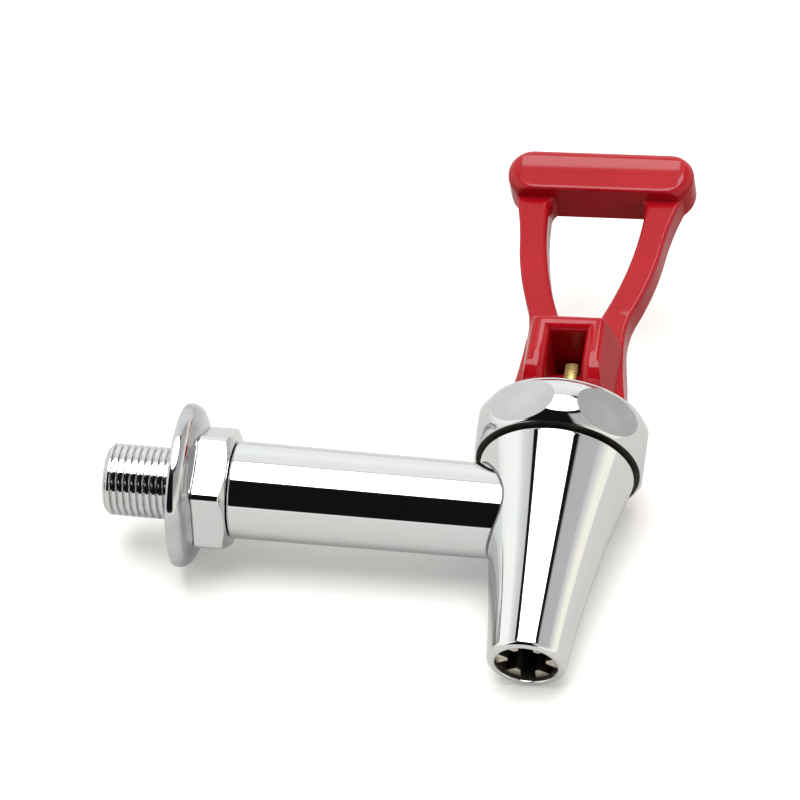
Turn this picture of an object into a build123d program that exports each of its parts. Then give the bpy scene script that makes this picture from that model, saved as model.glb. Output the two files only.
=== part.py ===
from build123d import *
import os
from math import cos, radians, sin, sqrt

# A self-closing urn tap. The origin is where the shank's axis meets the wall that the flange washer
# sits on. +X runs from the tank out to the valve, +Z is up, and the handle's window faces -Y.

# Shank, barrel and what clamps them to the wall
thread_r = 8.0
thread_start = -16.5
thread_chamfer = 1.1
runout_r = 7.6
inlet_r = 5.0
thread_clear = 0.05
washer_r = 18.2
washer_rim = 2.6
washer_hub = 4.8
washer_hub_r = 12.4
washer_hole_r = 8.3
gasket_in_r = 9.1
gasket_out_r = 12.9
gasket_deep = 2.0
nut_across = 25.0
nut_long = 7.2
nut_turn = -16.1
nut_gap = 0.2
nut_corner = 2.2
nut_chamfer = 1.4
nut_face = 0.2
barrel_r_wall = 10.8
barrel_r_valve = 10.4

# Valve housing: a cone that draws in to a fluted mouth
valve_x = 82.3
rim_r = 17.2
rim_z = 11.8
waist_r = 11.78
waist_z = -13.5
mouth_r = 8.7
mouth_z = -38.4
lip = 1.3
flute_r = 6.7
rib_r = 4.2
flute_wide = 3.3
flute_count = 6
flute_deep = 11.0
pipe_r = 5.3
neck_r = 15.2
neck_top = 18.4
chamber_r = 12.2
chamber_floor_r = 8.2
chamber_knee_z = 2.0
seat_z = -17.0
seat_r = 4.6
seat_thick = 3.0

# Bonnet: a bulged cap with flats for a spanner
bonnet_low = 12.8
bonnet_top = 24.64
bulge_r = 20.27
bulge_z = 18.4
bulge_arc = 8.9
bonnet_across = 37.3
bonnet_turn = 35.7
bonnet_edge = 0.7
seal_thick = 1.6
seal_inset = 0.2
seal_wide = 2.4
running = 0.05

# Stem, plug and spring
stem_r = 3.0
spigot_r = 2.0
collar_r = 7.6
collar_thick = 2.0
plug_r = 6.8
plug_thick = 5.0
plug_nut_across = 7.0
plug_nut_thick = 2.4
ring_wire_r = 0.9
spring_washer_r = 8.0
spring_washer_thick = 1.0
wire_r = 0.6
coil_r = 5.4
coil_turns = 7
tang_thick = 2.8
tang_from = 2.0
tang_top = 14.8

# Handle: a D-shaped grip on a deep cam foot
handle_turn = -3.7
pin_r = 1.25
pin_high = 10.2
foot_gap = 0.1
foot_front = 14.0
foot_front_w = 8.1
foot_back = 10.0
foot_w = 14.2
block_top = 20.0
window_w = 4.0
window_top = 16.3
slot_back = 6.4
boss_r = 2.5
boss_gap = 0.2
frame_front = 3.5
frame_back = 4.4
bar_front = 6.9
bar_low = 60.3
bar_trim = 1.3
bar_top = 72.0
bar_w = 21.5
pin_out = 12.5
pin_blind = 9.5
pin_inset = 0.7
waist_w = 11.0
waist_high = 21.5
flare_bulge = 0.6
flare_drop = 8.0
knee_w = 12.4
knee_high = 30.0
leg_w = 16.5
leg_high = 47.4
shoulder_in = 0.8
leg_overlap = 4.9
finger_overlap = 1.0
finger_low = 25.0
finger_low_w = 3.9
finger_mid = 43.0
finger_mid_w = 9.5
finger_top_w = 11.1
finger_corner_low = 3.6
finger_corner_top = 3.6
bar_corner_top = 5.8
bar_corner_low = 7.0
bar_edge = 2.6
bar_lower_edge = 0.6
dish_r = 40.0
dish_deep = 0.25
dish_high = 65.3
dish_in = 3.2
finger_edge = 1.2
leg_edge_front = 0.8
leg_edge_back = 2.2
block_edge = 1.5
window_edge = 2.1
heel_edge = 2.2
heel_w = 9.0
heel_top = 12.0

cam_r = pin_high - foot_gap
cam_off = foot_front - cam_r
nut_start = washer_hub
shoulder_x = nut_start + nut_long + nut_gap
ceiling_z = neck_top + seal_thick
collar_z = seat_z + running + plug_thick
turn = radians(handle_turn)
across = Vector(cos(turn), sin(turn), 0)
back = Vector(-sin(turn), cos(turn), 0)
seat_point = Vector(valve_x, 0, bonnet_top)
front_plane = Plane(origin=seat_point, x_dir=across, z_dir=-back)
side_plane = Plane(origin=seat_point, x_dir=back, z_dir=across)
plan_plane = Plane(origin=seat_point, x_dir=across, z_dir=(0, 0, 1))
valve_plane = Plane(origin=(valve_x, 0, 0), x_dir=(1, 0, 0), z_dir=(0, -1, 0))
valve_axis = Axis((valve_x, 0, 0), (0, 0, 1))
wall_plane = Plane(origin=(0, 0, 0), x_dir=(0, 1, 0), z_dir=(1, 0, 0))

# Tap body, cast in one: threaded shank, tapering barrel, conical housing and the neck for the bonnet
with BuildPart() as tap_body:
    with BuildSketch(Plane.XZ):
        with BuildLine():
            Polyline(
                (thread_start, 0),
                (thread_start, thread_r - thread_chamfer),
                (thread_start + thread_chamfer, thread_r),
                (0, thread_r),
                (thread_r - runout_r, runout_r),
                (washer_hub - thread_r + runout_r, runout_r),
                (washer_hub, thread_r),
                (shoulder_x, thread_r),
                (shoulder_x, barrel_r_wall - 0.6),
                (shoulder_x + 0.6, barrel_r_wall),
                (valve_x, barrel_r_valve),
                (valve_x, 0),
                close=True,
            )
        make_face()
    revolve(axis=Axis.X)
    with BuildSketch(valve_plane):
        with BuildLine():
            ThreePointArc((rim_r, rim_z), (waist_r, waist_z), (mouth_r, mouth_z + lip))
            Line((mouth_r, mouth_z + lip), (mouth_r - lip, mouth_z))
            Line((mouth_r - lip, mouth_z), (0, mouth_z))
            Line((0, mouth_z), (0, neck_top))
            Line((0, neck_top), (neck_r, neck_top))
            Line((neck_r, neck_top), (neck_r, rim_z))
            Line((neck_r, rim_z), (rim_r, rim_z))
        make_face()
    revolve(axis=valve_axis)
    # Water way: inlet bore, valve chamber with its seat, outlet pipe and the fluted mouth
    with BuildSketch(wall_plane.offset(thread_start)):
        Circle(inlet_r)
    extrude(amount=valve_x - thread_start, mode=Mode.SUBTRACT)
    with BuildSketch(valve_plane):
        with BuildLine():
            Polyline(
                (0, neck_top),
                (chamber_r, neck_top),
                (chamber_r, chamber_knee_z),
                (chamber_floor_r, seat_z),
                (seat_r, seat_z),
                (seat_r, seat_z - seat_thick),
                (pipe_r, seat_z - seat_thick - 1.0),
                (pipe_r, mouth_z + flute_deep),
                (0, mouth_z + flute_deep),
                close=True,
            )
        make_face()
    revolve(axis=valve_axis, mode=Mode.SUBTRACT)
    with BuildSketch(Plane.XY.offset(mouth_z)):
        with Locations((valve_x, 0)):
            Circle(rib_r)
            with PolarLocations(rib_r / 2, flute_count, start_angle=90):
                Rectangle(2 * flute_r - rib_r, flute_wide)
    extrude(amount=flute_deep, mode=Mode.SUBTRACT)
tap_body.part.label = "tap_body"

# Flange washer: a dished disc with a rounded rim and a recess for the wall gasket
with BuildPart() as flange_washer:
    with BuildSketch(Plane.XZ):
        with BuildLine():
            Polyline(
                (0, gasket_out_r + running),
                (0, washer_r - 0.8),
                (0.8, washer_r),
                (washer_rim - 1.0, washer_r),
                (washer_rim, washer_r - 1.0),
                (washer_hub, washer_hub_r + 1.6),
                (washer_hub, washer_hole_r),
                (gasket_deep, washer_hole_r),
                (gasket_deep, gasket_out_r + running),
                close=True,
            )
        make_face()
    revolve(axis=Axis.X)
flange_washer.part.label = "flange_washer"

# Wall gasket: a flat silicone ring let into the back of the washer
with BuildPart() as wall_gasket:
    with BuildSketch(wall_plane):
        Circle(gasket_out_r)
        Circle(gasket_in_r, mode=Mode.SUBTRACT)
    extrude(amount=gasket_deep)
wall_gasket.part.label = "wall_gasket"

# Lock nut: a hexagon with a flat bearing face and a chamfered outer end
with BuildPart() as lock_nut:
    with BuildSketch(wall_plane.offset(nut_start)):
        RegularPolygon(nut_across / 2, 6, major_radius=False, rotation=nut_turn)
    extrude(amount=nut_long)
    with BuildSketch(Plane.XZ):
        with BuildLine():
            Polyline(
                (nut_start, 0),
                (nut_start, nut_across / 2 + nut_corner),
                (nut_start + nut_long - nut_chamfer, nut_across / 2 + nut_corner),
                (nut_start + nut_long, nut_across / 2 - nut_face),
                (nut_start + nut_long, 0),
                close=True,
            )
        make_face()
    revolve(axis=Axis.X, mode=Mode.INTERSECT)
    with BuildSketch(wall_plane.offset(nut_start)):
        Circle(thread_r + thread_clear)
    extrude(amount=nut_long, mode=Mode.SUBTRACT)
lock_nut.part.label = "lock_nut"

# Bonnet: the bulged cap that screws on the neck and guides the stem
bulge_c = bulge_r - bulge_arc
low_r = bulge_c + sqrt(bulge_arc ** 2 - (bonnet_low - bulge_z) ** 2)
top_r = bulge_c + sqrt(bulge_arc ** 2 - (bonnet_top - bonnet_edge - bulge_z) ** 2)
gland_z = (ceiling_z + bonnet_top) / 2
gland_half = ring_wire_r + running
with BuildPart() as bonnet:
    with BuildSketch(valve_plane):
        with BuildLine():
            Line((neck_r + thread_clear, bonnet_low), (low_r, bonnet_low))
            ThreePointArc((low_r, bonnet_low), (bulge_r, bulge_z), (top_r, bonnet_top - bonnet_edge))
            Polyline(
                (top_r, bonnet_top - bonnet_edge),
                (top_r - bonnet_edge, bonnet_top),
                (stem_r + running, bonnet_top),
                (stem_r + running, gland_z + gland_half),
                (stem_r + 2 * gland_half, gland_z + gland_half),
                (stem_r + 2 * gland_half, gland_z - gland_half),
                (stem_r + running, gland_z - gland_half),
                (stem_r + running, ceiling_z),
                (neck_r + thread_clear, ceiling_z),
                (neck_r + thread_clear, bonnet_low),
            )
        make_face()
    revolve(axis=valve_axis)
    with BuildSketch(Plane.XY.offset(bonnet_low)):
        with Locations((valve_x, 0)):
            RegularPolygon(bonnet_across / 2, 6, major_radius=False, rotation=bonnet_turn)
    extrude(amount=bonnet_top - bonnet_low, mode=Mode.INTERSECT)
bonnet.part.label = "bonnet"

# Bonnet seal: a flat ring squeezed between the neck and the bonnet
with BuildPart() as bonnet_seal:
    with BuildSketch(Plane.XY.offset(neck_top)):
        with Locations((valve_x, 0)):
            Circle(neck_r - seal_inset)
            Circle(neck_r - seal_inset - seal_wide, mode=Mode.SUBTRACT)
    extrude(amount=seal_thick)
bonnet_seal.part.label = "bonnet_seal"

# Stem ring: the round seal that the stem slides and turns in
with BuildPart() as stem_ring:
    with BuildSketch(valve_plane):
        with Locations((stem_r + gland_half, gland_z)):
            RegularPolygon(ring_wire_r, 8)
    revolve(axis=valve_axis)
stem_ring.part.label = "stem_ring"

# Stem: a brass rod with a collar above the plug and a flat tang for the cross pin
with BuildPart() as stem:
    with BuildSketch(valve_plane):
        with BuildLine():
            Polyline(
                (0, seat_z + running - plug_nut_thick - 0.6),
                (spigot_r, seat_z + running - plug_nut_thick - 0.6),
                (spigot_r, collar_z),
                (collar_r, collar_z),
                (collar_r, collar_z + collar_thick),
                (stem_r, collar_z + collar_thick),
                (stem_r, bonnet_top + tang_top - 0.5),
                (stem_r - 0.5, bonnet_top + tang_top),
                (0, bonnet_top + tang_top),
                close=True,
            )
        make_face()
    revolve(axis=valve_axis)
    with BuildSketch(plan_plane.offset(tang_from)):
        Rectangle(4 * stem_r, 4 * stem_r)
        Rectangle(tang_thick, 4 * stem_r, mode=Mode.SUBTRACT)
    extrude(amount=tang_top, mode=Mode.SUBTRACT)
    with BuildSketch(side_plane):
        with Locations((0, pin_high)):
            Circle(pin_r + running)
    extrude(amount=tang_thick, both=True, mode=Mode.SUBTRACT)
stem.part.label = "stem"

# Valve plug: the silicone disc that closes on the seat
with BuildPart() as valve_plug:
    with BuildSketch(Plane.XY.offset(seat_z + running)):
        with Locations((valve_x, 0)):
            Circle(plug_r)
            Circle(spigot_r, mode=Mode.SUBTRACT)
    extrude(amount=plug_thick)
valve_plug.part.label = "valve_plug"

# Plug nut: holds the plug up against the stem's collar
with BuildPart() as plug_nut:
    with BuildSketch(Plane.XY.offset(seat_z + running - plug_nut_thick)):
        with Locations((valve_x, 0)):
            RegularPolygon(plug_nut_across / 2, 6, major_radius=False)
            Circle(spigot_r, mode=Mode.SUBTRACT)
    extrude(amount=plug_nut_thick)
plug_nut.part.label = "plug_nut"

# Spring washer: carries the spring's top end under the bonnet
with BuildPart() as spring_washer:
    with BuildSketch(Plane.XY.offset(ceiling_z - spring_washer_thick - running)):
        with Locations((valve_x, 0)):
            Circle(spring_washer_r)
            Circle(stem_r + 2 * running, mode=Mode.SUBTRACT)
    extrude(amount=spring_washer_thick)
spring_washer.part.label = "spring_washer"

# Return spring: steel wire wound between the collar and the spring washer
spring_low = collar_z + collar_thick + wire_r + running
spring_high = ceiling_z - spring_washer_thick - wire_r - 2 * running
coil_steps = 12 * coil_turns
coil_points = []
for step in range(coil_steps + 1):
    bend = radians(30 * step)
    rise = spring_low + (spring_high - spring_low) * step / coil_steps
    coil_points.append((valve_x + coil_r * cos(bend), coil_r * sin(bend), rise))
with BuildPart() as return_spring:
    with BuildLine() as coil:
        Polyline(*coil_points)
    with BuildSketch(Plane(origin=coil_points[0], z_dir=coil.line % 0)):
        RegularPolygon(wire_r, 6)
    sweep(path=coil.line, transition=Transition.RIGHT)
return_spring.part.label = "return_spring"

# Handle, moulded in one: grip bar, two legs, and a cam foot with a window for the stem
legs_top = bar_low + leg_overlap
finger_top = bar_low + finger_overlap
shoulder_w = bar_w - shoulder_in


def spot(edge, share=0.5):
    """A point on an edge in the handle's own axes: X across, Y up from the bonnet, Z to the front."""
    return front_plane.to_local_coords(edge @ share)


# Front outline that the legs and the foot share: flared foot, waist, legs that spread to the bar
with BuildSketch(front_plane) as handle_outline:
    with BuildLine():
        flare = ThreePointArc((foot_w, foot_gap), (waist_w + flare_bulge, waist_high - flare_drop), (waist_w, waist_high))
        spread = TangentArc(flare @ 1, (knee_w, knee_high), tangent=flare % 1)
        leg = TangentArc(spread @ 1, (leg_w, leg_high), tangent=spread % 1)
        shoulder = TangentArc(leg @ 1, (shoulder_w, legs_top), tangent=leg % 1)
        Polyline(shoulder @ 1, (0, legs_top), (0, foot_gap), flare @ 0)
    make_face()
    mirror(about=Plane.YZ)

# Legs: one even thickness with the finger hole between them
with BuildPart() as handle_legs:
    with BuildSketch(front_plane.offset(-frame_back)):
        add(handle_outline.sketch_local)
    extrude(amount=frame_back + frame_front)
    with BuildSketch(front_plane.offset(-frame_back)):
        with BuildLine():
            ThreePointArc((finger_top_w, finger_top), (finger_mid_w, finger_mid), (finger_low_w, finger_low))
            Polyline((finger_low_w, finger_low), (0, finger_low), (0, finger_top), (finger_top_w, finger_top))
        make_face()
        mirror(about=Plane.YZ)
        fillet([v for v in vertices().group_by(Axis.Y)[-1] if abs(v.X) > 0.1], finger_corner_top)
        fillet([v for v in vertices().group_by(Axis.Y)[0] if abs(v.X) > 0.1], finger_corner_low)
    extrude(amount=frame_back + frame_front, mode=Mode.SUBTRACT)
    level = [e for e in edges() if abs(spot(e, 0).Z - spot(e, 1).Z) < 0.1]
    hole = [e for e in level if abs(spot(e).X) < finger_top_w and finger_low - 0.1 < spot(e).Y < finger_top + 0.1]
    fillet(hole, finger_edge)
    outer = [e for e in edges() if abs(spot(e, 0).Z - frame_front) + abs(spot(e, 1).Z - frame_front) < 0.1]
    fillet([e for e in outer if knee_w < abs(spot(e).X) < shoulder_w], leg_edge_front)
    outer = [e for e in edges() if abs(spot(e, 0).Z + frame_back) + abs(spot(e, 1).Z + frame_back) < 0.1]
    fillet([e for e in outer if knee_w < abs(spot(e).X) < shoulder_w], leg_edge_back)

# Grip bar, round at its ends and edges, with a flat underside and a slightly dished front
with BuildPart() as handle_bar:
    with BuildSketch(front_plane.offset(-frame_back)):
        with Locations((0, (bar_low - bar_trim + bar_top) / 2)):
            Rectangle(2 * bar_w, bar_top - bar_low + bar_trim)
        fillet(vertices().group_by(Axis.Y)[-1], bar_corner_top)
        fillet(vertices().group_by(Axis.Y)[0], bar_corner_low)
    extrude(amount=frame_back + bar_front)
    fillet([e for e in edges() if abs(spot(e, 0).Z - spot(e, 1).Z) < 0.1], bar_edge)
    split(bisect_by=plan_plane.offset(bar_low), keep=Keep.TOP)
    fillet([e for e in edges() if abs(spot(e).Y - bar_low) < 0.01], bar_lower_edge)
    with BuildSketch(side_plane):
        with Locations((dish_deep - bar_front - dish_r, dish_high)):
            Circle(dish_r)
    extrude(amount=bar_w - dish_in, both=True, mode=Mode.SUBTRACT)

# What is cut from round the foot: it narrows to the window frame in front and to a heel behind
with BuildPart() as foot_waste:
    with BuildSketch(plan_plane):
        Rectangle(4 * bar_w, 4 * foot_front)
    extrude(amount=block_top)
    with BuildSketch(plan_plane):
        with BuildLine():
            Polyline(
                (0, -foot_front),
                (foot_front_w, -foot_front),
                (waist_w - 0.1, -frame_front),
                (foot_w, -1.0),
                (foot_w, frame_back),
                (heel_w, foot_back),
                (0, foot_back),
                close=True,
            )
        make_face()
        mirror(about=Plane.YZ)
        fillet([v for v in vertices().group_by(Axis.Y)[0] if abs(v.X) > 0.1], block_edge)
        fillet([v for v in vertices().group_by(Axis.Y)[-1] if abs(v.X) > 0.1], heel_edge)
    extrude(amount=block_top, mode=Mode.SUBTRACT)

with BuildPart() as handle:
    # Foot: deep from front to back, with the lifting cam under its front
    with BuildSketch(front_plane.offset(-foot_back)):
        add(handle_outline.sketch_local)
    extrude(amount=foot_back + foot_front)
    with BuildSketch(side_plane):
        with BuildLine():
            RadiusArc((-cam_off, foot_gap), (-foot_front, pin_high), cam_r)
            Polyline(
                (-foot_front, pin_high),
                (-foot_front, block_top),
                (frame_back - leg_edge_back, block_top),
                (foot_back, heel_top),
                (foot_back, 2.0),
                (foot_back - 2.0, foot_gap),
                (-cam_off, foot_gap),
            )
        make_face()
    extrude(amount=bar_w, both=True, mode=Mode.INTERSECT)
    add(handle_legs.part)
    add(foot_waste.part, mode=Mode.SUBTRACT)
    ledge = [e for e in edges() if abs(spot(e).Y - block_top) < 0.1 and spot(e).Z > frame_front + 0.5]
    fillet(ledge, block_edge)
    # Window and slot for the stem
    with BuildSketch(side_plane):
        with BuildLine():
            Polyline(
                (-foot_front - 1.0, -1.0),
                (-foot_front - 1.0, window_top),
                (slot_back, window_top),
                (slot_back, -1.0),
                close=True,
            )
        make_face()
    extrude(amount=window_w, both=True, mode=Mode.SUBTRACT)
    rim = [e for e in edges() if abs(spot(e).Z - foot_front) < 0.1 and abs(spot(e).X) < window_w + 0.1]
    fillet([e for e in rim if window_top + 0.1 > spot(e).Y > pin_high + 0.5], window_edge)
    add(handle_bar.part)
    # Bosses that centre the stem's tang, and the blind hole for the pin
    with BuildSketch(side_plane.offset(tang_thick / 2 + boss_gap)):
        with Locations((0, pin_high)):
            Circle(boss_r)
    extrude(amount=window_w)
    with BuildSketch(side_plane.offset(-tang_thick / 2 - boss_gap)):
        with Locations((0, pin_high)):
            Circle(boss_r)
    extrude(amount=-window_w)
    with BuildSketch(side_plane.offset(-bar_w)):
        with Locations((0, pin_high)):
            Circle(pin_r)
    extrude(amount=bar_w + pin_blind, mode=Mode.SUBTRACT)
handle.part.label = "handle"

# Cross pin: pressed in from one side, it hangs the stem's tang in the handle
with BuildPart() as handle_pin:
    with BuildSketch(side_plane.offset(pin_inset - pin_out)):
        with Locations((0, pin_high)):
            Circle(pin_r)
    extrude(amount=pin_out - pin_inset + pin_blind)
handle_pin.part.label = "handle_pin"

os.makedirs("parts", exist_ok=True)
export_step(tap_body.part, "parts/tap_body.step")
export_step(flange_washer.part, "parts/flange_washer.step")
export_step(wall_gasket.part, "parts/wall_gasket.step")
export_step(lock_nut.part, "parts/lock_nut.step")
export_step(bonnet.part, "parts/bonnet.step")
export_step(bonnet_seal.part, "parts/bonnet_seal.step")
export_step(stem_ring.part, "parts/stem_ring.step")
export_step(stem.part, "parts/stem.step")
export_step(valve_plug.part, "parts/valve_plug.step")
export_step(plug_nut.part, "parts/plug_nut.step")
export_step(spring_washer.part, "parts/spring_washer.step")
export_step(return_spring.part, "parts/return_spring.step")
export_step(handle.part, "parts/handle.step")
export_step(handle_pin.part, "parts/handle_pin.step")
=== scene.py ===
from math import acos, cos, pi, radians, sin, sqrt

import bmesh
import bpy
import numpy as np
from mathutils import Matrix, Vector


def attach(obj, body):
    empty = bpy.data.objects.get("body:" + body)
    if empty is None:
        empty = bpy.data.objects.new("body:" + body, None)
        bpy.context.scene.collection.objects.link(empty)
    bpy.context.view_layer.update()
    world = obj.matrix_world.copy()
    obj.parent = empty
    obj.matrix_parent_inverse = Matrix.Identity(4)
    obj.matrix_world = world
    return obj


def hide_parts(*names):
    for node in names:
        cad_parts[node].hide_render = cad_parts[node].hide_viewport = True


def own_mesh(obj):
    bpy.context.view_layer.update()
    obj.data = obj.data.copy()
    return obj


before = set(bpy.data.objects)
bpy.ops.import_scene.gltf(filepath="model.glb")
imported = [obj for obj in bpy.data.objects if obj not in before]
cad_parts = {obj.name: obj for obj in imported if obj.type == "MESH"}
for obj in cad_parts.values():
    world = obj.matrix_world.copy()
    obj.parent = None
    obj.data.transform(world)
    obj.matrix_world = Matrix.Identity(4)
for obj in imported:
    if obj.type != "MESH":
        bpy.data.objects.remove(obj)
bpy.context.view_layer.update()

# Tap body: one brass casting, turned and polished, then chromed. The threaded shank runs through
# the tank's wall, the barrel carries the water to the cone, and the cone ends in a fluted mouth.
MM, valve_x = 0.001, 82.3


class Feed:
    """An output socket of a shader node. Sums of feeds and numbers add Math nodes."""

    def __init__(self, tree, socket=None):
        self.tree = tree
        self.socket = socket

    def node(self, kind, settings, values, out=0):
        """Adds a node: first its settings, then the numbers or feeds of its inputs."""
        made = self.tree.nodes.new(kind)
        for key, value in settings.items():
            if key == "stops":
                ramp = made.color_ramp.elements
                for place, tone in value[len(ramp):]:
                    ramp.new(place)
                for stop, (place, tone) in zip(ramp, value):
                    stop.position = place
                    stop.color = (*tone, 1.0) if isinstance(tone, tuple) else (tone, tone, tone, 1.0)
            else:
                setattr(made, key, value)
        for key, value in values.items():
            if isinstance(value, Feed):
                self.tree.links.new(value.socket, made.inputs[key])
            else:
                made.inputs[key].default_value = value
        return Feed(self.tree, made.outputs[out])

    def close(self, kind, shader):
        """Links a shader to the tree's output."""
        self.tree.links.new(shader.socket, self.tree.nodes.new(kind).inputs["Surface"])

    def maths(self, operation, one, two):
        return self.node("ShaderNodeMath", {"operation": operation}, {0: one, 1: two})

    def __add__(self, other):
        return self.maths("ADD", self, other)

    def __radd__(self, other):
        return self.maths("ADD", other, self)

    def __sub__(self, other):
        return self.maths("SUBTRACT", self, other)

    def __rsub__(self, other):
        return self.maths("SUBTRACT", other, self)

    def __mul__(self, other):
        return self.maths("MULTIPLY", self, other)

    def __rmul__(self, other):
        return self.maths("MULTIPLY", other, self)

    def __truediv__(self, other):
        return self.maths("DIVIDE", self, other)

    def dot(self, direction):
        """How far this vector points along a direction."""
        pair = {0: self, 1: direction}
        return self.node("ShaderNodeVectorMath", {"operation": "DOT_PRODUCT"}, pair, out="Value")

    def step(self, low, high):
        """0 below low, 1 above high, with a smooth rise between them."""
        return self.node(
            "ShaderNodeMapRange",
            {"interpolation_type": "SMOOTHSTEP"},
            {"Value": self, "From Min": low, "From Max": high},
        )

    def mix(self, one, two):
        """Colour one where this feed is 0, colour two where it is 1."""
        return self.node("ShaderNodeMix", {"data_type": "RGBA"}, {"Factor": self, 6: one, 7: two}, out=2)


def finish_of(name):
    """A new material with an empty node tree, and a feed to build its nodes from."""
    made = bpy.data.materials.new(name)
    made.use_nodes = True
    made.node_tree.nodes.clear()
    return made, Feed(made.node_tree)


def surface(feed, **values):
    """Closes a finish with one Principled shader."""
    shader = feed.node("ShaderNodeBsdfPrincipled", {}, {k.replace("_", " "): v for k, v in values.items()})
    feed.close("ShaderNodeOutputMaterial", shader)


def chrome(name, tone, rough, wave):
    """Bright plating: faint haze and polishing lines in the gloss, and the slight waves of polished brass."""
    made, feed = finish_of(name)
    place = feed.node("ShaderNodeTexCoord", {}, {}, out="Object")
    haze = feed.node("ShaderNodeTexNoise", {}, {"Vector": place, "Scale": 90.0, "Detail": 4.0})
    fine = feed.node("ShaderNodeTexNoise", {}, {"Vector": place, "Scale": 2600.0, "Detail": 2.0})
    slow = feed.node("ShaderNodeTexNoise", {}, {"Vector": place, "Scale": 70.0, "Detail": 1.0})
    cool = tuple(c * k for c, k in zip(tone, (0.975, 0.99, 1.0)))
    colour = haze.step(0.35, 0.7).mix((*tone, 1.0), (*cool, 1.0))
    gloss = rough + rough * 0.5 * haze.step(0.4, 0.75) + 0.012 * fine.step(0.55, 0.8)
    normal = feed.node("ShaderNodeBump", {}, {"Strength": wave, "Distance": 0.0004, "Height": slow})
    surface(feed, Base_Color=colour, Metallic=1.0, Roughness=gloss, Normal=normal)
    return made


def rings_of(profile, angles):
    """Rings of one turned profile: each (along, radius) point goes once round."""
    return [[(along, radius)] * len(angles) for along, radius in profile]


def turned(rings, angles, to_frame, closed=False):
    """Vertices and quads of rings about an axis; to_frame places (along, out, side) in millimetres."""
    points = []
    for ring in rings:
        for (along, radius), angle in zip(ring, angles):
            points.append(to_frame(along, radius * cos(angle), radius * sin(angle)))
    count = len(angles)
    faces = []
    pairs = list(zip(range(len(rings) - 1), range(1, len(rings))))
    if closed:
        pairs.append((len(rings) - 1, 0))
    for a, b in pairs:
        for i in range(count):
            j = (i + 1) % count
            faces.append((a * count + i, a * count + j, b * count + j, b * count + i))
    return points, faces


def on_shank(along, out, side):
    """About the shank's axis, angle 0 up."""
    return along * MM, -side * MM, out * MM


def on_valve(along, out, side):
    """About the valve's axis, angle 0 along the barrel's line."""
    return (valve_x + out) * MM, side * MM, along * MM


def build(name, shells, finishes, body, slot, *nodes, crease=32.0, parted=False):
    """One smooth-shaded mesh from shells of (points, faces, finish number), riding on a body in place of nodes.
    Edges past the crease angle are sharp, and so are the borders of finishes where these are parted."""
    shape = bmesh.new()
    for points, faces, number in shells:
        made = [shape.verts.new(p) for p in points]
        for corners in faces:
            face = shape.faces.new([made[i] for i in corners])
            face.material_index = number
            face.smooth = True
    bmesh.ops.remove_doubles(shape, verts=shape.verts, dist=2e-7)
    bmesh.ops.dissolve_degenerate(shape, dist=1e-7, edges=shape.edges)
    bmesh.ops.recalc_face_normals(shape, faces=shape.faces)
    for edge in shape.edges:
        sides = edge.link_faces
        border = parted and len(sides) == 2 and sides[0].material_index != sides[1].material_index
        edge.smooth = not border and (len(sides) != 2 or edge.calc_face_angle(0.0) < radians(crease))
    mesh = bpy.data.meshes.new(name)
    shape.to_mesh(mesh)
    shape.free()
    for finish in finishes:
        mesh.materials.append(finish)
    piece = bpy.data.objects.new(name, mesh)
    bpy.context.scene.collection.objects.link(piece)
    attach(piece, body)
    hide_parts(*nodes)
    return piece


def even(count):
    return [2 * pi * i / count for i in range(count)]


# shank with its rolled thread: broad crests, narrow grooves
crest_r, groove, pitch, end_bevel = 8.0, 0.72, 1.5, 1.1
thread_from, thread_to, shoulder = -16.5, 0.0, 12.2
round_120 = even(120)
thread_rings = []
steps = int((thread_to - thread_from) / pitch * 14)
for i in range(steps + 1):
    along = thread_from + (thread_to - thread_from) * i / steps
    ring = []
    for angle in round_120:
        turn = (along / pitch - angle / (2 * pi)) % 1.0
        depth = min(max((abs(2 * turn - 1) - 0.54) / 0.34, 0.0), 1.0)
        run_out = max(min(thread_to - along, 1.0), 0.0)
        bevel = crest_r - end_bevel + along - thread_from
        ring.append((along, min(crest_r - groove * depth * run_out, bevel)))
    thread_rings.append(ring)
bore_rings = rings_of([(60.0, 5.0), (thread_from + 0.5, 5.0), (thread_from, 5.5)], round_120)
shank = turned(bore_rings + thread_rings, round_120, on_shank)

# barrel from its shoulder to just inside the cone
barrel_wall_r, barrel_valve_r, barrel_edge, taper_from = 10.8, 10.4, 0.5, shoulder + 0.6
round_192 = even(192)


def barrel_r(along):
    return barrel_wall_r + (barrel_valve_r - barrel_wall_r) * (along - taper_from) / (valve_x - taper_from)


barrel_profile = [(0.0, 8.0), (0.4, 7.6), (shoulder, 7.6), (shoulder, barrel_wall_r - barrel_edge)]
for i in range(5):
    bend = radians(22.5 * i)
    along, radius = shoulder + barrel_edge * (1 - cos(bend)), barrel_wall_r - barrel_edge * (1 - sin(bend))
    barrel_profile.append((along, radius))
barrel_profile += [(a, barrel_r(a)) for a in np.linspace(taper_from, 73.0, 24)]
barrel = turned(rings_of(barrel_profile, round_192), round_192, on_shank)

# cone: one long arc from the rim to the mouth, where it turns in over a rounded lip
rim, waist, lip_top = (11.8, 17.2), (-13.5, 11.78), (-37.1, 8.7)


def arc_through(a, b, c):
    """Centre and radius of the circle through three (along, radius) points."""
    m = np.array([[b[0] - a[0], b[1] - a[1]], [c[0] - a[0], c[1] - a[1]]], float) * 2
    v = np.array([b[0] ** 2 - a[0] ** 2 + b[1] ** 2 - a[1] ** 2, c[0] ** 2 - a[0] ** 2 + c[1] ** 2 - a[1] ** 2])
    centre = np.linalg.solve(m, v)
    return centre, float(np.hypot(*(np.array(a) - centre)))


cone_centre, cone_bend = arc_through(rim, waist, lip_top)


def cone_r(along):
    return float(cone_centre[1] - sqrt(cone_bend ** 2 - (along - cone_centre[0]) ** 2))


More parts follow.
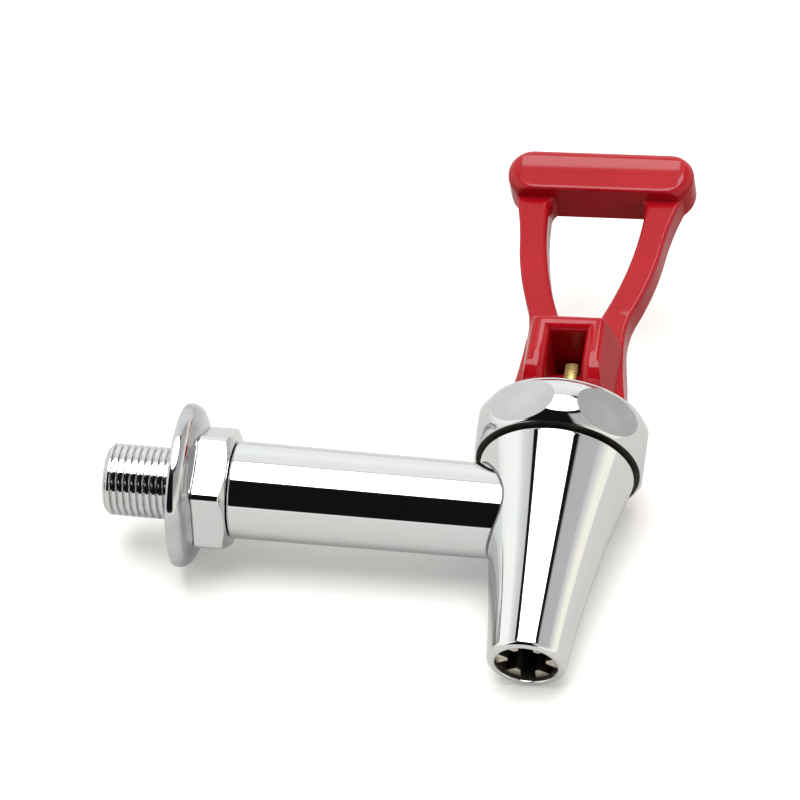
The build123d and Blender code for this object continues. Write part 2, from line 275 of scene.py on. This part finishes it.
# the mouth's outline: a round bore with six flutes, one of them to each side of the barrel's line
rib_r, flute_r, flute_half = 4.2, 6.7, 1.65
mouth_angles = []
for k in range(6):
    middle = pi / 2 + k * pi / 3
    corner = np.arctan2(flute_half, flute_r)
    foot = np.arcsin(flute_half / rib_r)
    offsets = [-pi / 6, -0.47, -foot - 0.03, -foot - 0.004, -foot, -0.345, -0.29]
    offsets += [-corner - 0.006, -corner, -0.16, -0.08]
    mouth_angles += [middle + o for o in offsets] + [middle] + [middle - o for o in reversed(offsets[1:])]


def mouth_r(angle):
    off = (angle - pi / 2 + pi / 6) % (pi / 3) - pi / 6
    slot = min(flute_r / cos(off), flute_half / max(abs(sin(off)), 1e-6))
    return max(rib_r, slot)


def flutes(along):
    return [(along, min(mouth_r(a), mouth_bore - 0.01)) for a in mouth_angles]


lip, mouth_z, mouth_bore, flute_end = 1.3, -38.4, 6.75, -27.4
ribs_from = mouth_z + 1.3
cone_profile = [(18.4, 12.2), (18.4, 15.2), (11.8, 15.2), (11.8, 16.9), (11.7, 17.1), (11.5, cone_r(11.5))]
cone_profile += [(a, cone_r(a)) for a in np.linspace(11.0, lip_top[0], 60)]
for i in range(1, 7):
    bend = radians(15 * i)
    cone_profile.append((lip_top[0] - lip * sin(bend), lip_top[1] - lip + lip * cos(bend)))
cone_rings = rings_of(cone_profile, mouth_angles)
mouth_profile = [(mouth_z, 7.15), (mouth_z + 0.1, 6.9), (mouth_z + 0.4, mouth_bore), (ribs_from, mouth_bore)]
cone_rings += rings_of(mouth_profile, mouth_angles) + [flutes(ribs_from), flutes(flute_end)]
chamber = [(flute_end, 5.3), (-21.0, 5.3), (-20.0, 4.6), (-17.0, 4.6), (-17.0, 8.2), (2.0, 12.2)]
cone_rings += rings_of(chamber, mouth_angles)
cone_points, cone_faces = turned(cone_rings, mouth_angles, on_valve, closed=True)
skin_from, skin_to, rib_row = 3, len(cone_profile) + 2, len(cone_profile) + 3
cone_skin, rib_ends, cone_inner = [], [], []
for face in cone_faces:
    row = face[0] // len(mouth_angles)
    (cone_skin if skin_from <= row < skin_to else rib_ends if row == rib_row else cone_inner).append(face)

# the narrow seam where the barrel runs into the cone, in chrome darkened to 0.2: a painted shade line along the
# crease
fillet = 0.4
joint_points, joint_faces = [], []
joint_steps = 7
for angle in round_192:
    up, out = cos(angle), -sin(angle)
    along = 66.0
    for _ in range(30):
        r = barrel_r(along)
        along = valve_x - sqrt(max(cone_r(r * up) ** 2 - (r * out) ** 2, 0.0))
    r = barrel_r(along)
    corner = np.array([along, r * out, r * up])
    before = np.array([along - fillet, barrel_r(along - fillet) * out, barrel_r(along - fillet) * up])
    reach = np.array([0.0, out, up]) * fillet + corner
    flat = np.array([reach[0] - valve_x, reach[1], 0.0])
    flat = flat / np.linalg.norm(flat) * cone_r(reach[2])
    after = np.array([valve_x + flat[0], flat[1], reach[2]])
    for i in range(joint_steps):
        t = i / (joint_steps - 1)
        p = (1 - t) ** 2 * before + 2 * t * (1 - t) * corner + t ** 2 * after
        joint_points.append(tuple(p * MM))
for i in range(len(round_192)):
    j = (i + 1) % len(round_192)
    for k in range(joint_steps - 1):
        a, b = i * joint_steps + k, j * joint_steps + k
        joint_faces.append((a, b, b + 1, a + 1))
chrome_body = chrome("chrome_body", (0.70, 0.705, 0.70), 0.03, 0.05)
thread_chrome = chrome("chrome_thread", (0.64, 0.645, 0.64), 0.06, 0.12)
# Unplated brass inside the mouth and on the neck in the gap under the bonnet. Its near-black tone is painted
# shade for these hollows.
raw_brass_painted_shade, feed = finish_of("raw_brass_painted_shade")
place = feed.node("ShaderNodeTexCoord", {}, {}, out="Object")
scale = feed.node("ShaderNodeTexNoise", {}, {"Vector": place, "Scale": 420.0, "Detail": 5.0})
colour = scale.step(0.3, 0.75).mix((0.012, 0.010, 0.008, 1.0), (0.045, 0.036, 0.024, 1.0))
normal = feed.node("ShaderNodeBump", {}, {"Strength": 0.3, "Distance": 0.0001, "Height": scale})
surface(feed, Base_Color=colour, Metallic=0.3, Roughness=0.5 + 0.2 * scale, Normal=normal)
cut_brass, feed = finish_of("cut_brass")
place = feed.node("ShaderNodeTexCoord", {}, {}, out="Object")
chips = feed.node("ShaderNodeTexNoise", {}, {"Vector": place, "Scale": 900.0, "Detail": 4.0})
colour = chips.step(0.3, 0.7).mix((0.80, 0.75, 0.64, 1.0), (0.56, 0.49, 0.38, 1.0))
surface(feed, Base_Color=colour, Metallic=0.7, Roughness=0.32 + 0.2 * chips)
# Dark chrome for the seam's fillet: painted shade in the crease between barrel and cone.
seam_shade_chrome = chrome("chrome_seam_painted_shade", (0.20, 0.20, 0.20), 0.12, 0.2)
shells = [(*shank, 1), (*barrel, 0), (joint_points, joint_faces, 3)]
# The cone's bore, flutes, chamber and neck take the near-black brass, which is painted shade.
shells += [(cone_points, cone_skin, 0), (cone_points, cone_inner, 2), (cone_points, rib_ends, 4)]
finishes = [chrome_body, thread_chrome, raw_brass_painted_shade, seam_shade_chrome, cut_brass]
build("tap_body_skin", shells, finishes, "tap", "chrome_body", "tap_body")

# Flange washer: a pressed and chromed brass disc with a rounded rim, domed away from the wall.
# The lock nut pushes its hub, and its back face lies on the tank's wall.
washer_r, washer_hub = 18.2, 4.8
washer_profile = [(2.0, 8.3), (2.0, 12.95), (0.0, 12.95)]
washer_profile += [(0.0, 17.5), (0.12, 17.9), (0.35, 18.12), (0.7, washer_r), (1.3, 18.17), (1.9, 18.05)]
washer_profile += [(2.4, 17.85), (2.85, 17.5), (3.2, 17.1), (3.5, 16.6), (3.8, 16.0), (4.1, 15.3)]
washer_profile += [(4.4, 14.6), (4.65, 13.9), (washer_hub, 13.4), (washer_hub, 8.3)]
washer = turned(rings_of(washer_profile, round_192), round_192, on_shank, closed=True)
washer_chrome, feed = finish_of("chrome_washer")
place = feed.node("ShaderNodeTexCoord", {}, {}, out="Object")
flat_place = feed.node("ShaderNodeVectorMath", {"operation": "MULTIPLY"}, {0: place, 1: (0.0, 1.0, 1.0)})
reach = feed.node("ShaderNodeVectorMath", {"operation": "LENGTH"}, {0: flat_place}, out="Value")
ring_marks = feed.node(
    "ShaderNodeTexNoise", {"noise_dimensions": "1D"}, {"W": reach * 900.0, "Scale": 1.0, "Detail": 2.0}
)
haze = feed.node("ShaderNodeTexNoise", {}, {"Vector": place, "Scale": 150.0, "Detail": 4.0})
colour = haze.step(0.3, 0.7).mix((0.60, 0.605, 0.615, 1.0), (0.48, 0.485, 0.495, 1.0))
normal = feed.node("ShaderNodeBump", {}, {"Strength": 0.2, "Distance": 0.0004, "Height": ring_marks})
surface(feed, Base_Color=colour, Metallic=1.0, Roughness=0.06 + 0.05 * haze, Normal=normal)
shells = [(*washer, 0)]
build("flange_washer_skin", shells, [washer_chrome], "tap", "chrome_fitting", "flange_washer", crease=40.0)

# Wall gasket: a flat ring of milky silicone, let into the washer's back and pressed on the wall.
# Its edges are slightly rounded from the mould.
gasket_profile = [(0.0, 9.3), (0.0, 12.7), (0.2, 12.9), (1.95, 12.9), (1.95, 9.1), (0.2, 9.1)]
gasket = turned(rings_of(gasket_profile, round_120), round_120, on_shank, closed=True)
seal_white, feed = finish_of("silicone")
place = feed.node("ShaderNodeTexCoord", {}, {}, out="Object")
cloud = feed.node("ShaderNodeTexNoise", {}, {"Vector": place, "Scale": 220.0, "Detail": 5.0})
colour = cloud.step(0.3, 0.7).mix((0.80, 0.79, 0.75, 1.0), (0.88, 0.875, 0.85, 1.0))
normal = feed.node("ShaderNodeBump", {}, {"Strength": 0.15, "Distance": 0.0002, "Height": cloud})
surface(feed, Base_Color=colour, Roughness=0.42 + 0.16 * cloud, Normal=normal)
build("wall_gasket_skin", [(*gasket, 0)], [seal_white], "tap", "seal_white", "wall_gasket")

# Lock nut: turned from hexagon brass bar and chromed, chamfered at the end toward the barrel.
# It runs on the shank's thread and clamps the washer to the wall.
chrome_fitting = chrome("chrome_fitting", (0.68, 0.685, 0.685), 0.045, 0.10)
nut_from, nut_to, nut_half, nut_turn = 4.8, 12.0, 12.5, radians(-16.1)
nut_corner, chamfer_deep, chamfer_wide = 2.2, 1.4, 2.4
nut_outline = []
for k in range(6):
    for off in (0.0, 9.0, 16.0, 21.0, 23.5):
        nut_outline.append((radians(60 * k + off), nut_half / cos(radians(off))))
    for i in range(9):
        bend = radians(60 * k + 60 * i / 8)
        middle, reach = radians(60 * k + 30), (nut_half - nut_corner) / cos(pi / 6)
        x, y = reach * cos(middle) + nut_corner * cos(bend), reach * sin(middle) + nut_corner * sin(bend)
        nut_outline.append((np.arctan2(y, x) % (2 * pi), np.hypot(x, y)))
    for off in (36.5, 39.0, 44.0, 51.0):
        nut_outline.append((radians(60 * k + off), nut_half / cos(radians(60 - off))))
nut_outline.sort()
nut_angles = [angle for angle, radius in nut_outline]
nut_radii = dict(nut_outline)


def nut_r(angle):
    return nut_radii[angle]


def nut_chamfer(angle):
    """Where the side meets the turned chamfer."""
    return nut_to - chamfer_deep + chamfer_deep * (nut_half + 2.2 - nut_r(angle)) / chamfer_wide


def on_nut(along, out, side):
    """The nut's own angles: 0 is the middle of a flat."""
    level, up = cos(pi / 6 + nut_turn), sin(pi / 6 + nut_turn)
    return along * MM, (out * level - side * up) * MM, (out * up + side * level) * MM


nut_rings = [
    [(nut_from, 8.05) for a in nut_angles],
    [(nut_from, nut_r(a) - 0.35) for a in nut_angles],
    [(nut_from + 0.1, nut_r(a) - 0.1) for a in nut_angles],
    [(nut_from + 0.35, nut_r(a)) for a in nut_angles],
    [(nut_from + 0.45, nut_r(a)) for a in nut_angles],
    [(nut_chamfer(a) - 0.25, nut_r(a)) for a in nut_angles],
    [(nut_chamfer(a) - 0.12, nut_r(a)) for a in nut_angles],
    [(nut_chamfer(a) + 0.10, nut_r(a) - 0.12) for a in nut_angles],
    [(nut_to - 0.1, nut_half - 0.05) for a in nut_angles],
    [(nut_to, nut_half - 0.4) for a in nut_angles],
    [(nut_to, 8.6) for a in nut_angles],
    [(nut_to - 0.6, 8.05) for a in nut_angles],
]
nut = turned(nut_rings, nut_angles, on_nut, closed=True)
build("lock_nut_skin", [(*nut, 0)], [chrome_fitting], "tap", "chrome_fitting", "lock_nut", crease=24.0)

# Bonnet: a bulged brass cap, turned and chromed, with six ground flats for a spanner.
# It screws on the body's neck, squeezes a black rubber seal and guides the stem.
bonnet_low, bonnet_top, bulge_r, bulge_z, bulge_arc = 12.8, 24.64, 20.27, 18.4, 8.9
flat_half, flat_turn, top_edge = 18.65, radians(35.7 + 30.0), 0.7
flat_steps, flat_rows, rows_below = 17, 49, 8


def bulge(along):
    return bulge_r - bulge_arc + sqrt(bulge_arc ** 2 - (along - bulge_z) ** 2)


def flat_ring(along, radius):
    """One ring at a height: six flats, as wide as the bulge stands out past them, and the bulge between."""
    wide = acos(min(1.0, flat_half / radius))
    ring = []
    for k in range(6):
        for i in range(flat_steps):
            off = wide * (2 * i / (flat_steps - 1) - 1)
            ring.append((along, min(radius, flat_half / cos(off)), flat_turn + k * pi / 3 + off))
        for i in range(1, flat_steps - 1):
            off = wide + (pi / 3 - 2 * wide) * i / (flat_steps - 1)
            ring.append((along, radius, flat_turn + k * pi / 3 + off))
    return ring


flat_end = sqrt(bulge_arc ** 2 - (flat_half - bulge_r + bulge_arc) ** 2)
heights = list(np.linspace(bonnet_low + 0.15, bulge_z - flat_end, rows_below)[:-1])
heights += [bulge_z - flat_end * cos(pi * i / (flat_rows - 1)) for i in range(flat_rows)]
heights += list(np.linspace(bulge_z + flat_end, bonnet_top - top_edge, 4)[1:])
bonnet_rings = [flat_ring(bonnet_low, 15.25), flat_ring(bonnet_low, bulge(bonnet_low + 0.15) - 0.2)]
bonnet_rings += [flat_ring(h, bulge(h)) for h in heights]
edge_r = bulge(bonnet_top - top_edge)
for i in range(1, 6):
    bend = radians(18 * i)
    along, radius = bonnet_top - top_edge * (1 - sin(bend)), edge_r - top_edge * (1 - cos(bend))
    bonnet_rings.append(flat_ring(along, radius))
stem_hole = [(bonnet_top, 3.4), (bonnet_top - 0.25, 3.05), (20.0, 3.05), (20.0, 15.25)]
bonnet_rings += [flat_ring(h, r) for h, r in stem_hole]
bonnet_points = []
per_ring = len(bonnet_rings[0])
for ring in bonnet_rings:
    for along, radius, angle in ring:
        bonnet_points.append(on_valve(along, radius * cos(angle), radius * sin(angle)))
smooth_faces, ground_faces, under_faces = [], [], []
for a in range(len(bonnet_rings)):
    b = (a + 1) % len(bonnet_rings)
    for i in range(per_ring):
        j = (i + 1) % per_ring
        on_flat = i % (2 * flat_steps - 2) < flat_steps - 1 and rows_below <= a < rows_below + flat_rows
        face = (a * per_ring + i, a * per_ring + j, b * per_ring + j, b * per_ring + i)
        (ground_faces if on_flat else smooth_faces if a > 0 else under_faces).append(face)
ground, feed = finish_of("chrome_ground")
place = feed.node("ShaderNodeTexCoord", {}, {}, out="Object")
along_z = feed.node("ShaderNodeMapping", {}, {"Vector": place, "Scale": (260.0, 260.0, 5200.0)})
lines = feed.node("ShaderNodeTexNoise", {}, {"Vector": along_z, "Scale": 1.0, "Detail": 3.0})
haze = feed.node("ShaderNodeTexNoise", {}, {"Vector": place, "Scale": 120.0, "Detail": 2.0})
colour = haze.step(0.3, 0.7).mix((0.47, 0.475, 0.48, 1.0), (0.53, 0.535, 0.54, 1.0))
normal = feed.node("ShaderNodeBump", {}, {"Strength": 0.03, "Distance": 0.00003, "Height": lines})
surface(feed, Base_Color=colour, Metallic=1.0, Roughness=0.19 + 0.08 * lines, Normal=normal)
# The bonnet's underside over the neck gap takes the near-black brass, which is painted shade.
shells = [(bonnet_points, smooth_faces, 0), (bonnet_points, ground_faces, 1), (bonnet_points, under_faces, 2)]
finishes = [chrome_fitting, ground, raw_brass_painted_shade]
build("bonnet_skin", shells, finishes, "tap", "chrome_fitting", "bonnet", crease=28.65, parted=True)
seal_black, feed = finish_of("nitrile")
place = feed.node("ShaderNodeTexCoord", {}, {}, out="Object")
dust = feed.node("ShaderNodeTexNoise", {}, {"Vector": place, "Scale": 700.0, "Detail": 4.0})
colour = dust.step(0.5, 0.8).mix((0.018, 0.018, 0.020, 1.0), (0.040, 0.040, 0.042, 1.0))
surface(feed, Base_Color=colour, Roughness=0.5 + 0.2 * dust)
for name in ("bonnet_seal", "stem_ring"):
    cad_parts[name].data.materials.clear()
    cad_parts[name].data.materials.append(seal_black)

# Stem, plug and spring: a turned brass rod with a flat tang in the handle, a silicone plug held by
# a small brass nut, and a steel spring under a steel washer that pulls the plug back on its seat.
brass, feed = finish_of("brass")
place = feed.node("ShaderNodeTexCoord", {}, {}, out="Object")
stretched = feed.node("ShaderNodeMapping", {}, {"Vector": place, "Scale": (300.0, 300.0, 6000.0)})
lathe_marks = feed.node("ShaderNodeTexNoise", {}, {"Vector": stretched, "Scale": 1.0, "Detail": 3.0})
tarnish = feed.node("ShaderNodeTexNoise", {}, {"Vector": place, "Scale": 260.0, "Detail": 4.0})
colour = tarnish.step(0.35, 0.75).mix((0.96, 0.79, 0.31, 1.0), (0.86, 0.66, 0.23, 1.0))
normal = feed.node("ShaderNodeBump", {}, {"Strength": 0.08, "Distance": 0.00004, "Height": lathe_marks})
surface(feed, Base_Color=colour, Metallic=0.7, Roughness=0.2 + 0.14 * lathe_marks, Normal=normal)
steel, feed = finish_of("steel")
place = feed.node("ShaderNodeTexCoord", {}, {}, out="Object")
grain = feed.node("ShaderNodeTexNoise", {}, {"Vector": place, "Scale": 1800.0, "Detail": 4.0})
colour = grain.step(0.35, 0.7).mix((0.50, 0.505, 0.515, 1.0), (0.62, 0.625, 0.63, 1.0))
surface(feed, Base_Color=colour, Metallic=1.0, Roughness=0.26 + 0.14 * grain)
for name, finish in (
    ("stem", brass),
    ("plug_nut", brass),
    ("valve_plug", seal_white),
    ("spring_washer", steel),
    ("handle_pin", steel),
):
    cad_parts[name].data.materials.clear()
    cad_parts[name].data.materials.append(finish)
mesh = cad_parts["return_spring"].data.copy()
mesh.materials.clear()
mesh.materials.append(steel)
spring = bpy.data.objects.new("return_spring_skin", mesh)
bpy.context.scene.collection.objects.link(spring)
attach(spring, "swivel")
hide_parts("return_spring")
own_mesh(spring)

# Handle: one red gloss moulding with a D-shaped grip on a cam foot, hung on the stem by a cross pin.
# The mould leaves its front and back polished, its sides and hollows plainer, with a faint flow pattern.
shape = bmesh.new()
shape.from_mesh(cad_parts["handle"].data)
bmesh.ops.remove_doubles(shape, verts=shape.verts, dist=1e-7)
for face in shape.faces:
    face.smooth = True
for edge in shape.edges:
    edge.smooth = len(edge.link_faces) != 2 or edge.calc_face_angle(0.0) < radians(30)
mesh = bpy.data.meshes.new("handle_skin")
shape.to_mesh(mesh)
shape.free()
red, feed = finish_of("red_plastic")
place = feed.node("ShaderNodeTexCoord", {}, {}, out="Object")
flow = feed.node("ShaderNodeTexNoise", {}, {"Vector": place, "Scale": 55.0, "Detail": 3.0, "Distortion": 0.6})
grain = feed.node("ShaderNodeTexNoise", {}, {"Vector": place, "Scale": 1500.0, "Detail": 3.0})
colour = flow.step(0.3, 0.75).mix((0.33, 0.003, 0.008, 1.0), (0.36, 0.005, 0.010, 1.0))
normal = feed.node("ShaderNodeBump", {}, {"Strength": 0.05, "Distance": 0.00006, "Height": grain})
facing = feed.node("ShaderNodeTexCoord", {}, {}, out="Normal")
out_of_mould = facing.dot((0.0, 1.0, 0.0))
polish = feed.node("ShaderNodeMath", {"operation": "ABSOLUTE"}, {0: out_of_mould}).step(0.25, 0.6)
surface(
    feed,
    Base_Color=colour,
    Roughness=0.14 + 0.06 * flow + 0.04 * grain,
    Normal=normal,
    IOR=1.5,
    Specular_IOR_Level=0.07,
    Coat_Weight=0.5 * polish,
    Coat_Roughness=0.06,
    Coat_IOR=1.5,
)
mesh.materials.clear()
mesh.materials.append(red)
handle = bpy.data.objects.new("handle_skin", mesh)
bpy.context.scene.collection.objects.link(handle)
handle.modifiers.new("even_normals", "WEIGHTED_NORMAL").keep_sharp = True
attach(handle, "handle")
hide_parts("handle")

# Table: the white sweep that the tap lies on, seen from above. It touches the washer, the bonnet
# and the mouth from behind, and shows its face only from that side.
table_up = Vector((-0.0246, -0.9779, 0.2074)).normalized()
table_point = Vector((0.0825, 0.0087, -0.0371)) - table_up * 0.0002
table_front = Vector((0.196, -0.822, -0.529)) - table_point
table_front = (table_front - table_up * table_front.dot(table_up)).normalized()
table_side = table_front.cross(table_up).normalized()
table_side = table_side if table_side.x > 0 else -table_side
table_half = 2.0
mesh = bpy.data.meshes.new("table")
sides = [(-1, -1), (1, -1), (1, 1), (-1, 1)]
corners = [table_point + table_side * table_half * a + table_front * table_half * b for a, b in sides]
mesh.from_pydata(corners, [], [(0, 1, 2, 3)])
table = bpy.data.objects.new("table", mesh)
bpy.context.scene.collection.objects.link(table)
if mesh.polygons[0].normal.dot(table_up) < 0:
    mesh.flip_normals()
white, feed = finish_of("white_sweep")
lens_ray = feed.node("ShaderNodeLightPath", {}, {}, out="Is Camera Ray")
gloss_ray = feed.node("ShaderNodeLightPath", {}, {}, out="Is Glossy Ray")
clear_ray = feed.node("ShaderNodeLightPath", {}, {}, out="Is Transmission Ray")
seen = feed.maths("MINIMUM", lens_ray + gloss_ray + clear_ray, 1.0)
white_of = lens_ray.mix((0.45, 0.44, 0.425, 1.0), (0.79, 0.772, 0.748, 1.0))
paper = feed.node("ShaderNodeBsdfDiffuse", {}, {"Color": white_of})
glow_of = seen.mix((0.0, 0.0, 0.0, 1.0), (1.0, 1.0, 1.0, 1.0))
glow = feed.node("ShaderNodeEmission", {}, {"Color": glow_of, "Strength": 0.18})
both = feed.node("ShaderNodeAddShader", {}, {0: paper, 1: glow})
clear = feed.node("ShaderNodeBsdfTransparent", {}, {})
behind = feed.node("ShaderNodeNewGeometry", {}, {}, out="Backfacing")
shown = feed.node("ShaderNodeMixShader", {}, {0: behind, 1: both, 2: clear})
feed.close("ShaderNodeOutputMaterial", shown)
mesh.materials.append(white)

# Studio: a light tent with an open top under a large soft light, pale side and back walls, and a
# dark room in front where the camera stands. It is painted on the world by direction.
world = bpy.data.worlds.new("studio")
bpy.context.scene.world = world
world.use_nodes = True
world.node_tree.nodes.clear()
feed = Feed(world.node_tree)
ray = feed.node("ShaderNodeTexCoord", {}, {}, out="Generated")
up, front, side = ray.dot(table_up), ray.dot(table_front), ray.dot(table_side)
level = feed.node("ShaderNodeMath", {"operation": "SQRT"}, {0: feed.maths("MAXIMUM", 1.0 - up * up, 0.0001)})
ahead, across = front / level, side / level


def wall(*stops):
    """A wall's tone by height, from the table at 0 to straight up at 1."""
    return feed.node("ShaderNodeValToRGB", {"stops": stops}, {"Fac": up})


cream, warm = (1.25, 1.23, 1.09), (1.27, 1.24, 1.11)
wall_right = wall((0.0, 0.92), (0.02, cream), (0.22, warm), (0.43, 0.80), (0.51, 0.64), (0.86, 0.62))
pale, bright = (1.20, 1.20, 1.16), (1.29, 1.30, 1.26)
wall_left = wall((0.0, 0.96), (0.15, pale), (0.35, bright), (0.58, 1.3), (0.78, 0.87), (0.88, 0.78))
wall_back = wall((0.0, 1.1), (0.5, 1.24), (0.8, 1.1), (0.865, 1.15), (0.885, 0.85), (0.9, 0.95))
walls = across.step(-0.3, 0.3).mix(wall_left, wall_right)
back = (0.0 - ahead).step(0.72, 0.92)
walls = back.mix(walls, wall_back)
frame_line = up.step(0.832, 0.866) * (1.0 - back)
room = ahead.step(0.50, 0.62) * up.step(0.055, 0.085) * (1.0 - across.step(0.10, 0.24))
dark = feed.maths("MAXIMUM", frame_line, room)
walls = dark.mix(walls, (0.008, 0.008, 0.009, 1.0))
opening = up.step(0.904, 0.918)
tent = opening.mix(walls, (6.0, 6.0, 6.05, 1.0))
below = up.step(-0.02, 0.0)
tent = below.mix((0.95, 0.95, 0.94, 1.0), tent)
light = feed.node("ShaderNodeBackground", {}, {"Color": tent, "Strength": 1.0})
plain = feed.node("ShaderNodeBackground", {}, {"Color": (1.0, 1.0, 1.0, 1.0), "Strength": 1.0})
camera_ray = feed.node("ShaderNodeLightPath", {}, {}, out="Is Camera Ray")
shown = feed.node("ShaderNodeMixShader", {}, {0: camera_ray, 1: light, 2: plain})
feed.close("ShaderNodeOutputWorld", shown)

# Camera: where the photograph was taken from, about a metre off, in front of the window side and
# below the barrel as the tap hangs on its tank.
camera_data = bpy.data.cameras.new("camera")
camera_data.sensor_width = 36.0
camera_data.lens = 202.478
camera_data.clip_start = 0.05
camera = bpy.data.objects.new("camera", camera_data)
bpy.context.scene.collection.objects.link(camera)
camera.location = (0.196194, -0.822224, -0.529173)
camera.rotation_euler = (radians(124.1052), radians(-8.7870), radians(4.5276))
bpy.context.scene.camera = camera
bpy.context.scene.view_settings.view_transform = "Standard"
